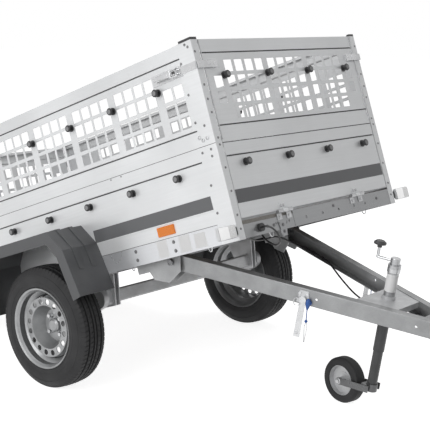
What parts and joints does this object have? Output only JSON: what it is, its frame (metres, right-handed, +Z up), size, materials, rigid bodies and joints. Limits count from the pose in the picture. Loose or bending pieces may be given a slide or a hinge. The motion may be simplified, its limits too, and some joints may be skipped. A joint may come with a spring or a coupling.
{
  "type": "utility trailer",
  "caption": "Single-axle tipping box trailer on a V drawbar, with mesh side extensions, drop-down end boards, a ball coupling and a jockey wheel.",
  "frame": {"origin": "on the ground under the middle of the whole length, on the centre line", "axes": "+X towards the coupling, +Y to the left, +Z up"},
  "size_m": [3.1632, 1.54, 1.5609],
  "materials": {
    "beams": "light grey coated steel",
    "zinc": "bright zinc plated steel",
    "sheet": "pale zinc-aluminium sheet",
    "plywood": "dark faced plywood with a layered edge",
    "black_plastic": "black moulded plastic",
    "grey_plastic": "dark grey moulded plastic",
    "white_lens": "white lamp lens",
    "amber_lens": "amber reflector lens",
    "red_lens": "red lamp lens",
    "blue_clip": "blue coated clip",
    "tyre": "black tyre rubber",
    "rubber": "black rubber",
    "rim": "silver painted steel",
    "dark_tube": "dark grey coated steel"
  },
  "bodies": {
    "drawbar": {"drawbar_beams": "beams", "cross_plate": "beams", "nose_gussets": "beams", "coupling_head": "zinc", "coupling_lever": "zinc", "bed_latch_plates": "zinc", "bed_latch_handles": "zinc", "bed_latch_clips": "blue_clip", "jockey_tube": "dark_tube", "jockey_clamp": "zinc", "jockey_crank": "zinc", "crank_knob": "black_plastic", "drawbar_cable": "rubber", "drawbar_clips": "black_plastic", "plug": "black_plastic"},
    "bed": {"side_rails": "sheet", "end_members": "sheet", "cross_hats": "sheet", "floor_panel": "plywood", "corner_posts": "sheet", "mesh_posts": "sheet", "side_boards": "sheet", "side_mesh": "sheet", "post_caps": "black_plastic", "side_knobs": "black_plastic", "corner_latches": "zinc", "board_hinges": "zinc", "mesh_pins": "zinc", "axle_tube": "zinc", "axle_brackets": "zinc", "trailing_arms": "zinc", "mudguards": "grey_plastic", "front_lamps": "white_lens", "lamp_stubs": "grey_plastic", "rear_lamps": "red_lens", "side_reflectors": "amber_lens", "cable_guides": "rubber", "box_cable": "rubber", "pivot_brackets": "zinc", "pivot_pins": "zinc"},
    "wheel_left": {"tyre_left": "tyre", "rim_left": "rim"},
    "wheel_right": {"tyre_right": "tyre", "rim_right": "rim"},
    "front_board": {"front_board": "sheet", "front_board_knobs": "black_plastic"},
    "rear_board": {"rear_board": "sheet", "rear_board_knobs": "black_plastic"},
    "front_mesh": {"front_mesh": "sheet", "front_mesh_hooks": "zinc", "front_mesh_knobs": "black_plastic"},
    "rear_mesh": {"rear_mesh": "sheet", "rear_mesh_hooks": "zinc", "rear_mesh_knobs": "black_plastic"},
    "jockey_stem": {"jockey_inner_tube": "zinc"},
    "jockey_fork": {"jockey_fork": "dark_tube"},
    "jockey_wheel": {"jockey_tyre": "tyre", "jockey_rim": "rim"}
  },
  "joints": [
    {"name": "bed_tip", "type": "hinge", "parent": "drawbar", "child": "bed", "pos_m": [0.22315, 0, 0.60258], "axis": [0, 1, 0], "range_deg": [-2.5, 26]},
    {"name": "wheel_left_spin", "type": "hinge", "parent": "bed", "child": "wheel_left", "pos_m": [-0.26696, 0.683, 0.2735], "axis": [0, 1, 0], "continuous": true},
    {"name": "wheel_right_spin", "type": "hinge", "parent": "bed", "child": "wheel_right", "pos_m": [-0.26696, -0.683, 0.2735], "axis": [0, 1, 0], "continuous": true},
    {"name": "front_board_hinge", "type": "hinge", "parent": "bed", "child": "front_board", "pos_m": [0.6851, 0, 0.86753], "axis": [0, 1, 0], "range_deg": [0, 40]},
    {"name": "rear_board_hinge", "type": "hinge", "parent": "bed", "child": "rear_board", "pos_m": [-1.34271, 0, 0.14705], "axis": [0, -1, 0], "range_deg": [0, 90]},
    {"name": "front_mesh_hinge", "type": "hinge", "parent": "bed", "child": "front_mesh", "pos_m": [0.55719, 0, 1.17229], "axis": [0, 1, 0], "range_deg": [0, 90]},
    {"name": "rear_mesh_hinge", "type": "hinge", "parent": "bed", "child": "rear_mesh", "pos_m": [-1.43576, 0, 0.4642], "axis": [0, -1, 0], "range_deg": [0, 90]},
    {"name": "jockey_height", "type": "slide", "parent": "drawbar", "child": "jockey_stem", "axis": [0.1545, 0, 0.988], "range_m": [-0.06, 0.14]},
    {"name": "jockey_swivel", "type": "hinge", "parent": "jockey_stem", "child": "jockey_fork", "pos_m": [0.96289, 0, 0.07749], "axis": [0.1545, 0, 0.988], "continuous": true},
    {"name": "jockey_roll", "type": "hinge", "parent": "jockey_fork", "child": "jockey_wheel", "pos_m": [0.81652, 0.02346, 0.10038], "axis": [0.1546, 0.9877, -0.0242], "continuous": true}
  ]
}
